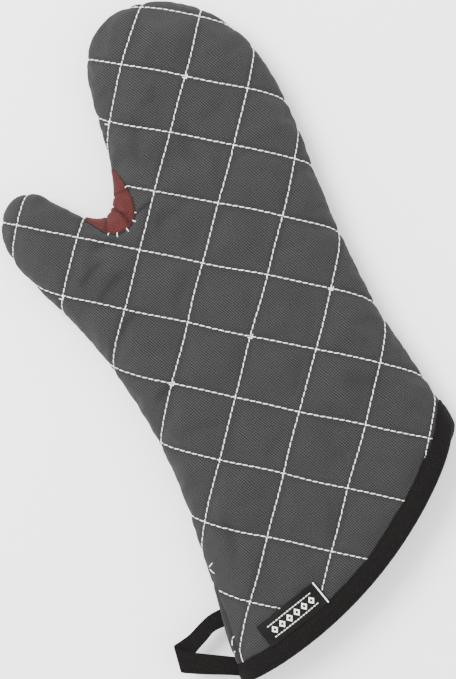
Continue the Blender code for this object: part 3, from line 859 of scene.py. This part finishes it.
def whip_form(sizes):
    """Short stitches over the hem on the back, square to it, each bowed by 1 - u^2."""
    u = np.linspace(-1, 1, THREAD_STATIONS)
    middles, outs = [], []
    for share, long in WHIP_STITCHES:
        here = guard_places(np.full(3, share), np.array((0.9, 1.0, 1.1)))[0]
        step = guard_places(np.array([share, share + 0.01]), np.array((1.0, 1.0)))[0]
        round_way = unit(step[1] - step[0])
        in_way = unit(here[2] - here[0])
        in_way = unit(in_way - round_way * (in_way @ round_way))
        out = np.cross(round_way, in_way)
        out = out * np.sign(out[2])
        middle = here[1] + in_way * (u[:, None] * long / 2 + 0.4) * MM
        middle = middle + out * (1.0 - 0.9 * u[:, None] ** 2) * MM
        middles.append(middle)
        outs.append(np.broadcast_to(out, middle.shape))
    mesh = thread_mesh("web_guard_stitches", np.array(middles), np.array(outs), sizes.thread_width * 0.9,
                       sizes.thread_width * 0.7)
    return facing_out(new_object("web_guard_stitches", mesh))


def loop_form():
    """A length of tape with one diagonal fold: a ruled surface between its two edges, given a thickness."""
    top, low = (run_of(edge, 12) for edge in (LOOP_TOP, LOOP_LOW))
    across = np.linspace(0, 1, 13)
    points = top[:, None] * (1 - across[:, None]) + low[:, None] * across[:, None]
    uneven = 0.35 * MM * np.sin(across * math.pi) * np.sin(np.linspace(0, 9, len(top)))[:, None]
    points[..., 2] += HALF + uneven
    points = points.reshape(-1, 3)
    thing = new_object("hanging_loop_tape", mesh_of(
        "hanging_loop_tape", points, grid_faces(len(top), len(across))))
    store(thing.data, "cloth", np.column_stack([np.repeat(lengths_along((top + low) / 2), len(across)),
                                                np.tile(across * TAPE_WIDTH, len(top))]))
    applied(thing, "SOLIDIFY", thickness=TAPE_THICKNESS, offset=0)
    applied(thing, "BEVEL", width=0.3 * MM, segments=2, limit_method="ANGLE", angle_limit=math.radians(50))
    return facing_out(thing)


def label_form(trees):
    """A small woven tab that lies on the back along the mouth. Its height is the polynomial in x and y that
    best fits the cloth and stitches under it, lifted clear of them, with its free edge and ends curled up."""
    columns, rows = 70, 30
    width, height = LABEL_SIZE
    way = np.array((math.cos(LABEL_ANGLE), math.sin(LABEL_ANGLE)))
    flank = np.array((-way[1], way[0]))
    x, y = np.meshgrid(np.linspace(-0.5, 0.5, columns) * width, np.linspace(0, 1, rows) * height,
                       indexing="ij")
    edge = MOUTH + way * (LABEL_HINGE + LABEL_TUCK)
    x, y = x.ravel(), y.ravel()
    drop = x ** 2 / (2 * BOUND_RADIUS)
    plan = edge + flank * x[:, None] - way * (y + drop * np.clip(1 - y / height, 0, 1) * 0.7)[:, None]
    top = np.array([hit[0].z if hit[0] else 0.0 for hit in looking_down(trees, plan)])
    basis = np.column_stack([(x / width) ** i * (y / height) ** j
                             for i in range(5) for j in range(4) if i + j < 6])
    smooth = basis @ np.linalg.lstsq(basis, top, rcond=None)[0]
    smooth += max(0.0, float((top - smooth).max())) * 0.6 + 0.55 * MM
    curl = 0.5 * MM * eased((y / height - 0.7) / 0.3) + 0.4 * MM * eased((np.abs(x) / width - 0.42) / 0.08)
    thing = new_object("woven_label_tab", mesh_of(
        "woven_label_tab", np.column_stack([plan, smooth + curl]), grid_faces(columns, rows)[:, ::-1]))
    store(thing.data, "cloth", np.column_stack([x, y]))
    if values_of(thing.data.vertex_normals, "vector", 3)[:, 2].mean() < 0:
        thing.data.flip_normals()
    applied(thing, "SOLIDIFY", thickness=0.45 * MM, offset=-1)
    return thing


# --- Finishes ---

class Field:
    """A number that changes over a surface. Each operator on it adds the Math node of that name."""

    def __init__(self, finish, socket):
        self.finish, self.socket = finish, socket

    def joined(self, operation, first, second=None, third=None):
        inputs = {i: value for i, value in enumerate((first, second, third)) if value is not None}
        node = self.finish.node("ShaderNodeMath", {"operation": operation}, inputs)
        return Field(self.finish, node.outputs[0])

    def __add__(self, other):
        return self.joined("ADD", self, other)

    def __sub__(self, other):
        return self.joined("SUBTRACT", self, other)

    def __rsub__(self, other):
        return self.joined("SUBTRACT", other, self)

    def __mul__(self, other):
        return self.joined("MULTIPLY", self, other)

    def __abs__(self):
        return self.joined("ABSOLUTE", self)

    def __mod__(self, other):
        return self.joined("FLOORED_MODULO", self, other)

    def __lt__(self, other):
        return self.joined("LESS_THAN", self, other)

    def __gt__(self, other):
        return self.joined("GREATER_THAN", self, other)

    __radd__, __rmul__ = __add__, __mul__

    def sine(self):
        return self.joined("SINE", self)

    def up_to(self, other):
        return self.joined("MINIMUM", self, other)

    def at_least(self, other):
        return self.joined("MAXIMUM", self, other)

    def step(self, start, end):
        """Goes from 0 at the start to 1 at the end, with level ends."""
        node = self.finish.node("ShaderNodeMapRange", {"interpolation_type": "SMOOTHSTEP"},
                                {"Value": self, "From Min": start, "From Max": end})
        return Field(self.finish, node.outputs[0])

    def bell(self, width):
        """1 where the field is 0, and falling away on both sides over this width."""
        return 1 - abs(self).step(0, width)


def socket_name(key):
    return key.replace("_", " ").title().replace("Ior", "IOR")


class Finish:
    """A material in the making, on one Principled shader."""

    def __init__(self, name, **even):
        self.material = bpy.data.materials.new(name)
        self.material.use_nodes = True
        self.tree = self.material.node_tree
        self.shader = self.tree.nodes["Principled BSDF"]
        for key, value in even.items():
            self.shader.inputs[socket_name(key)].default_value = value

    def node(self, kind, settings=None, inputs=None):
        """Adds a node of this type: its settings first, then the values or links of its sockets."""
        made = self.tree.nodes.new(kind)
        for key, value in (settings or {}).items():
            setattr(made, key, value)
        for key, value in (inputs or {}).items():
            self.feed(made.inputs[key], value)
        return made

    def feed(self, socket, value):
        if isinstance(value, Field):
            value = value.socket
        if isinstance(value, bpy.types.NodeSocket):
            self.tree.links.new(value, socket)
        else:
            socket.default_value = value

    def attribute(self, name, output="Vector"):
        return self.node("ShaderNodeAttribute", {"attribute_name": name}).outputs[output]

    def number(self, name):
        return Field(self, self.attribute(name, "Fac"))

    def parts(self, vector):
        split = self.node("ShaderNodeSeparateXYZ", None, {0: vector})
        return [Field(self, output) for output in split.outputs]

    def object_place(self):
        return self.node("ShaderNodeTexCoord").outputs["Object"]

    def noise(self, vector, size, detail=2.0, stretch=(1, 1, 1)):
        """Cloudy noise from 0 to 1, whose clouds are about this size in metres."""
        scale = tuple(s / size for s in stretch)
        scaled = self.node("ShaderNodeVectorMath", {"operation": "MULTIPLY"}, {0: vector, 1: scale}).outputs[0]
        return Field(self, self.node("ShaderNodeTexNoise", None, {
            "Vector": scaled, "Scale": 1.0, "Detail": detail}).outputs["Fac"])

    def mixed(self, share, first, second):
        return self.node("ShaderNodeMix", {"data_type": "RGBA"}, {0: share, 6: first, 7: second}).outputs[2]

    def shaded(self, colour, pattern, dark, light, *layers):
        """A colour, from a dark to a light shade over a pattern, then each layer's share of another shade."""
        base = self.mixed(pattern, shade_of(colour, dark), shade_of(colour, light))
        for share, shade in layers:
            base = self.mixed(share, base, shade_of(colour, shade))
        return base

    def relief(self, height, depth):
        """Bumps of this depth in metres where the height goes from 0 to 1."""
        return self.node("ShaderNodeBump", None, {
            "Strength": 1.0, "Distance": depth, "Height": height}).outputs["Normal"]

    def done(self, **outputs):
        for key, value in outputs.items():
            self.feed(self.shader.inputs[socket_name(key)], value)
        return self.material


def waves(field, length):
    """Sine waves of this length over a field of lengths, from -1 to 1."""
    return (field * (2 * math.pi / length)).sine()


def shade_of(colour, factor):
    return (*[min(1.0, c * factor) for c in colour[:3]], 1.0)


def twill(finish, cloth, pitch, angle):
    """Ribs of a twill weave, mostly from 0 to 1: sine waves that drift a little, crossed by stronger ones."""
    x, y = finish.parts(cloth)[:2]
    drift = finish.noise(cloth, 7 * MM, 3) * 1.3
    ribs, cross = (waves(x * (-math.sin(way) / pitch) + y * (math.cos(way) / pitch) + drift, 1.0)
                   for way in (angle, angle + math.radians(94)))
    return ribs * 0.22 + cross * 0.4 + 0.5


def quilt_finish(look):
    """Charcoal twill: fine sloping ribs, cloudy tone, pale fuzz, puckered along the stitching, and painted shade
    along the stitching, in the creases, along the seam and over the hems.
    """
    finish = Finish("charcoal_twill", roughness=0.92, specular_ior_level=0.18, sheen_weight=0.03,
                    sheen_roughness=0.5)
    cloth = finish.attribute("cloth")
    ribs = twill(finish, cloth, TWILL_PITCH, TWILL_ANGLE)
    cloudy = finish.noise(cloth, 34 * MM, 3)
    fuzz = finish.noise(cloth, 0.9 * MM, 3)
    near = 1 - finish.number("stitch").step(0.4 * MM, 4.5 * MM)
    pucker = finish.noise(cloth, 3.2 * MM, 2)
    # The near layer is painted shade in the stitched valleys; the crease layer is painted shade in the creases,
    # along the seam and over the hems.
    base = finish.shaded(look.charcoal, ribs, 0.04, 2.15, (cloudy.step(0.3, 0.7) * 0.22, 0.7),
                         (fuzz.step(0.5, 0.75) * 0.4, 2.6), ((1 - fuzz).step(0.52, 0.75) * 0.45, 0.1),
                         (near * 0.3, 0.4), (finish.number("crease") * 0.75, 0.2))
    height = ribs * 0.6 + pucker * (near * 1.6 + 0.25) + finish.noise(cloth, 14 * MM, 2) * 0.9
    return finish.done(base_color=base, roughness=0.86 + fuzz * 0.12, normal=finish.relief(height, 0.55 * MM))


def guard_finish(look):
    """Red-brown twill, cloudy and fuzzy, with painted shade in its wrinkles and along its edge."""
    finish = Finish("red_brown_twill", roughness=0.9, specular_ior_level=0.12, sheen_weight=0.03)
    cloth = finish.attribute("cloth")
    ribs = twill(finish, cloth, GUARD_TWILL_PITCH, GUARD_TWILL_ANGLE)
    cloudy = finish.noise(cloth, 7 * MM, 3)
    fuzz = finish.noise(cloth, 0.8 * MM, 2)
    # The crease layer is painted shade in the wrinkles and along the edge.
    base = finish.shaded(look.guard, ribs, 0.3, 1.6, (cloudy.step(0.35, 0.7) * 0.5, 0.6),
                         (fuzz.step(0.52, 0.75) * 0.4, 2.6), (finish.number("crease"), 0.12))
    height = ribs * 0.6 + cloudy * 1.6
    return finish.done(base_color=base, roughness=0.84 + fuzz * 0.14, normal=finish.relief(height, 0.5 * MM))


def tape_finish(look):
    """Near-black woven tape: ribs both ways, pale lint and uneven wear."""
    finish = Finish("black_tape", roughness=0.82, specular_ior_level=0.1)
    cloth = finish.attribute("cloth")
    x, y = finish.parts(cloth)[:2]
    ribs = waves(x, 0.8 * MM) * 0.3 + waves(y, 1.2 * MM) * 0.2 + 0.5
    place = finish.object_place()
    lint = finish.noise(place, 0.8 * MM, 3)
    cloudy = finish.noise(place, 12 * MM, 3)
    base = finish.shaded(look.tape, ribs, 0.7, 1.35, (cloudy.step(0.35, 0.7) * 0.5, 1.5),
                         (lint.step(0.55, 0.72) * 0.7, 6.0))
    height = ribs * 0.5 + finish.noise(place, 5 * MM, 2) * 1.8 + lint * 1.2
    return finish.done(base_color=base, roughness=0.74 + cloudy * 0.2, normal=finish.relief(height, 0.4 * MM))


def thread_finish(look):
    """Off-white sewing thread: twisted strands, a little soiled in places."""
    finish = Finish("off_white_thread", roughness=0.7, specular_ior_level=0.35, sheen_weight=0.2)
    place = finish.object_place()
    x, y, z = finish.parts(place)
    twist = waves(x * 0.8 + y + z * 0.5, 0.7 * MM) * 0.5 + 0.5
    soil = finish.noise(place, 16 * MM, 3).step(0.5, 0.75)
    base = finish.shaded(look.thread, twist, 0.78, 1.06, (soil * 0.3, 0.7))
    return finish.done(base_color=base, roughness=0.62 + soil * 0.2, normal=finish.relief(twist, 0.12 * MM))


def lining_finish(look):
    """Plain grey cotton: a square weave with slubs."""
    finish = Finish("grey_cotton", roughness=0.95, specular_ior_level=0.15, sheen_weight=0.1)
    cloth = finish.attribute("cloth")
    x, y = finish.parts(cloth)[:2]
    weave = waves(x, 1.0 * MM) * waves(y, 1.0 * MM) * 0.5 + 0.5
    slub = finish.noise(cloth, 5 * MM, 3, (0.3, 2, 1))
    cloudy = finish.noise(cloth, 30 * MM, 2)
    base = finish.shaded(look.lining, weave, 0.75, 1.2, (slub.step(0.5, 0.75) * 0.3, 1.4))
    height = weave * 0.4 + cloudy * 1.5
    return finish.done(base_color=base, roughness=0.88 + slub * 0.1, normal=finish.relief(height, 0.5 * MM))


def label_finish(look):
    """Black satin weave with a woven-in motif: a row of small diamonds between two broken lines, and a
    pale selvedge at one end. There is no lettering."""
    finish = Finish("black_satin_label", roughness=0.6, specular_ior_level=0.12)
    cloth = finish.attribute("cloth")
    x, y = finish.parts(cloth)[:2]
    width, height = LABEL_SIZE
    in_row = x.bell(19.5 * MM) > 0.001
    cell = abs((x % (6.4 * MM)) - 3.2 * MM)
    up = abs(y - height * 0.5)
    diamond = ((cell + up * 0.8) < 2.5 * MM) * in_row
    heart = ((cell + up * 0.8) < 1.1 * MM) * in_row
    dashes = ((x % (2.4 * MM)) < 1.7 * MM) * in_row
    lines = ((abs(up - 4.6 * MM)) < 0.35 * MM) * dashes
    selvedge = (abs(x - width * 0.478) < 0.45 * MM) * 1.0
    motif = (diamond - heart + lines + selvedge).up_to(1.0).at_least(0.0)
    threads, warp = (waves(field, length) * 0.5 + 0.5 for field, length in ((y, 0.45 * MM), (x, 0.6 * MM)))
    pale = finish.mixed(threads * 0.5, shade_of(look.thread, 1.0), shade_of(look.thread, 0.6))
    dark = finish.mixed(warp, shade_of(look.tape, 0.6), shade_of(look.tape, 1.3))
    base = finish.mixed(motif, dark, pale)
    relief = finish.relief(threads * 0.4 + motif * 0.6, 0.18 * MM)
    return finish.done(base_color=base, roughness=0.56 + threads * 0.14, normal=relief)


def dressed(thing, material):
    thing.data.materials.clear()
    thing.data.materials.append(material)
    return thing


# --- Settings and operators ---

class MittSizes(bpy.types.PropertyGroup):
    """Sizes of the sewn details."""

    thread_width: FloatProperty(name="Thread width", description="Width of the quilting thread",
                                default=0.74 * MM, min=0.2 * MM, unit="LENGTH", precision=4)
    stitch_length: FloatProperty(name="Stitch length", description="Length of the thread that shows in a stitch",
                                 default=3.85 * MM, min=1 * MM, unit="LENGTH", precision=4)
    view_distance: FloatProperty(name="View distance", description="Height of the camera over the mitt",
                                 default=1.5, min=0.3, unit="LENGTH")


class MittLook(bpy.types.PropertyGroup):
    """Colours of the cloths, the thread and the tapes."""

    charcoal: FloatVectorProperty(name="Charcoal", description="Colour of the outer cloth", size=3,
                                  default=(0.0184, 0.0185, 0.0183), subtype="COLOR", min=0, max=1)
    thread: FloatVectorProperty(name="Thread", description="Colour of the stitching", size=3,
                                default=(0.93, 0.92, 0.88), subtype="COLOR", min=0, max=1)
    guard: FloatVectorProperty(name="Guard", description="Colour of the cloth between thumb and fingers", size=3,
                               default=(0.054, 0.0122, 0.0108), subtype="COLOR", min=0, max=1)
    tape: FloatVectorProperty(name="Tape", description="Colour of the binding and the loop", size=3,
                              default=(0.0030, 0.0025, 0.0024), subtype="COLOR", min=0, max=1)
    lining: FloatVectorProperty(name="Lining", description="Colour of the lining", size=3,
                                default=(0.30, 0.30, 0.29), subtype="COLOR", min=0, max=1)


class MITT_OT_quilted_cloth(bpy.types.Operator):
    """Make the padded outer cloth of the hand, thumb and fingers"""

    bl_idname = "mitt.quilted_cloth"
    bl_label = "Quilted cloth"

    def execute(self, context):
        material = quilt_finish(context.scene.mitt_look)
        hand, fingers = split_form(quilted_form(), "quilted_fingers")
        for thing in (hand, fingers):
            dressed(thing, material)
        layers = [f"{side}_{layer}" for side in ("back", "palm") for layer in ("shell", "wadding")]
        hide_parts(*layers, *(f"thumb_{layer}" for layer in layers))
        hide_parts(*(f"finger_{layer}" for layer in layers))
        bend_thumb(hand)
        bend_fingers(fingers)
        return {"FINISHED"}


class MITT_OT_stitching(bpy.types.Operator):
    """Sew the quilting stitches along both families of lines, on both panels"""

    bl_idname = "mitt.stitching"
    bl_label = "Stitching"

    def execute(self, context):
        sizes = context.scene.mitt_sizes
        material = thread_finish(context.scene.mitt_look)
        cloth_map = ClothMap(bpy.data.objects["quilted_hand"], bpy.data.objects["quilted_fingers"])
        runs = [stitch_rows(cloth_map, family, number, panel, sizes)
                for panel in (1, -1) for family in (ROWS, COLUMNS) for number in LINES]
        runs.append(loose_stitches(trees_of("quilted_hand", "quilted_fingers"), sizes))
        middles, outs, on_fingers = (np.concatenate([run[i] for run in runs]) for i in range(3))
        for name, own, bend in (("stitches_hand", ~on_fingers, bend_thumb),
                                ("stitches_fingers", on_fingers, bend_fingers)):
            if not own.any():
                raise RuntimeError(f"no stitches found for {name}")
            thing = new_object(name, thread_mesh(name, middles[own], outs[own], sizes.thread_width,
                                                 sizes.thread_width * 0.8))
            dressed(thing, material)
            bend(thing)
        return {"FINISHED"}


class MITT_OT_lining(bpy.types.Operator):
    """Make the inner pocket that holds the hand"""

    bl_idname = "mitt.lining"
    bl_label = "Lining"

    def execute(self, context):
        material = lining_finish(context.scene.mitt_look)
        thing = wrapped_form("lining_hand", LINING_DEPTH, LINING_VOXEL)
        hand, fingers = split_form(thing, "lining_fingers")
        for piece, nodes in ((hand, ("back", "palm", "thumb_back", "thumb_palm")),
                             (fingers, ("finger_back", "finger_palm"))):
            piece.data.flip_normals()
            applied(piece, "SOLIDIFY", thickness=LINING_THICKNESS, offset=-1)
            dressed(piece, material)
            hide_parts(*(f"{node}_lining" for node in nodes))
        bend_thumb(hand)
        bend_fingers(fingers)
        return {"FINISHED"}


class MITT_OT_web_guard(bpy.types.Operator):
    """Make the gusset between thumb and fingers, the turned edges of the outer cloth and their stitches"""

    bl_idname = "mitt.web_guard"
    bl_label = "Web guard"

    def execute(self, context):
        look = context.scene.mitt_look
        guard = dressed(guard_form(), guard_finish(look))
        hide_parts("web_guard")
        thread, cloth = (bpy.data.materials[name] for name in ("off_white_thread", "charcoal_twill"))
        whips = dressed(whip_form(context.scene.mitt_sizes), thread)
        hems = [dressed(hem_form(side), cloth) for side in (1, -1)]
        for hem in hems:
            store(hem.data, "stitch", np.full(len(hem.data.vertices), 9 * MM))
            # The hems get the full painted shade, a shadow line round the guard.
            store(hem.data, "crease", np.full(len(hem.data.vertices), 1.0))
        for piece in (guard, whips, *hems):
            bend_thumb(piece)
        return {"FINISHED"}


class MITT_OT_binding_and_loop(bpy.types.Operator):
    """Fold the tape over the cuff's edge and sew the hanging loop to its corner"""

    bl_idname = "mitt.binding_and_loop"
    bl_label = "Binding and loop"

    def execute(self, context):
        material = tape_finish(context.scene.mitt_look)
        binding = dressed(binding_form(), material)
        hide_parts("cuff_binding")
        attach(binding, "hand")
        loop = dressed(loop_form(), material)
        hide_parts("hanging_loop")
        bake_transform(loop)
        return {"FINISHED"}


class MITT_OT_woven_label(bpy.types.Operator):
    """Sew the woven label beside the binding"""

    bl_idname = "mitt.woven_label"
    bl_label = "Woven label"

    def execute(self, context):
        label = dressed(label_form(trees_of("quilted_hand", "stitches_hand")),
                        label_finish(context.scene.mitt_look))
        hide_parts("woven_label")
        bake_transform(label)
        return {"FINISHED"}


class MITT_OT_stage(bpy.types.Operator):
    """Set the floor, the soft lights and the camera over the mitt"""

    bl_idname = "mitt.stage"
    bl_label = "Stage"

    def execute(self, context):
        scene = context.scene
        corners = [(x * FLOOR_REACH, y * FLOOR_REACH, 0) for x, y in ((-1, -1), (1, -1), (1, 1), (-1, 1))]
        floor = new_object("floor", mesh_of("floor", corners, [(0, 1, 2, 3)]))
        finish = Finish("pale_floor", roughness=0.85, specular_ior_level=0.1)
        grain = finish.noise(finish.object_place(), 0.25, 3)
        floor.data.materials.append(finish.done(base_color=finish.mixed(grain, (0.93, 0.93, 0.93, 1),
                                                                        (0.96, 0.96, 0.96, 1))))
        world = bpy.data.worlds.new("soft_room")
        world.use_nodes = True
        room = world.node_tree.nodes["Background"]
        room.inputs["Color"].default_value = (1, 1, 1, 1)
        room.inputs["Strength"].default_value = ROOM_LIGHT
        scene.world = world
        for name, place, size, power in LAMPS:
            lamp = bpy.data.lights.new(name, "AREA")
            lamp.shape, lamp.size, lamp.energy = "DISK", size, power
            thing = new_object(name, lamp)
            thing.location = place
            thing.rotation_euler = Vector(place).to_track_quat("Z", "Y").to_euler()
        camera = new_object("camera", bpy.data.cameras.new("camera"))
        distance = scene.mitt_sizes.view_distance
        camera.location = (*VIEW_MIDDLE, HALF + distance)
        camera.rotation_euler = (0, 0, VIEW_ROLL)
        camera.data.sensor_width = SENSOR
        camera.data.lens = SENSOR * distance / VIEW_LENGTH
        scene.camera = camera
        return {"FINISHED"}


class MITT_PT_sidebar(bpy.types.Panel):
    """Lists the mitt's settings and the steps that build it"""

    bl_idname = "MITT_PT_sidebar"
    bl_label = "Oven mitt"
    bl_space_type = "VIEW_3D"
    bl_region_type = "UI"
    bl_category = "Mitt"

    def draw(self, context):
        for group in (context.scene.mitt_sizes, context.scene.mitt_look):
            for key in group.__annotations__:
                self.layout.prop(group, key)
        for step in STEPS:
            self.layout.operator(step.bl_idname)


STEPS = (MITT_OT_quilted_cloth, MITT_OT_stitching, MITT_OT_lining, MITT_OT_web_guard, MITT_OT_binding_and_loop,
         MITT_OT_woven_label, MITT_OT_stage)
CLASSES = (MittSizes, MittLook, *STEPS, MITT_PT_sidebar)


def register():
    for made in CLASSES:
        bpy.utils.register_class(made)
    bpy.types.Scene.mitt_sizes = PointerProperty(type=MittSizes)
    bpy.types.Scene.mitt_look = PointerProperty(type=MittLook)


def unregister():
    del bpy.types.Scene.mitt_look
    del bpy.types.Scene.mitt_sizes
    for made in reversed(CLASSES):
        bpy.utils.unregister_class(made)


def main():
    register()
    for step in STEPS:
        group, name = step.bl_idname.split(".")
        getattr(getattr(bpy.ops, group), name)()


if __name__ == "__main__":
    main()
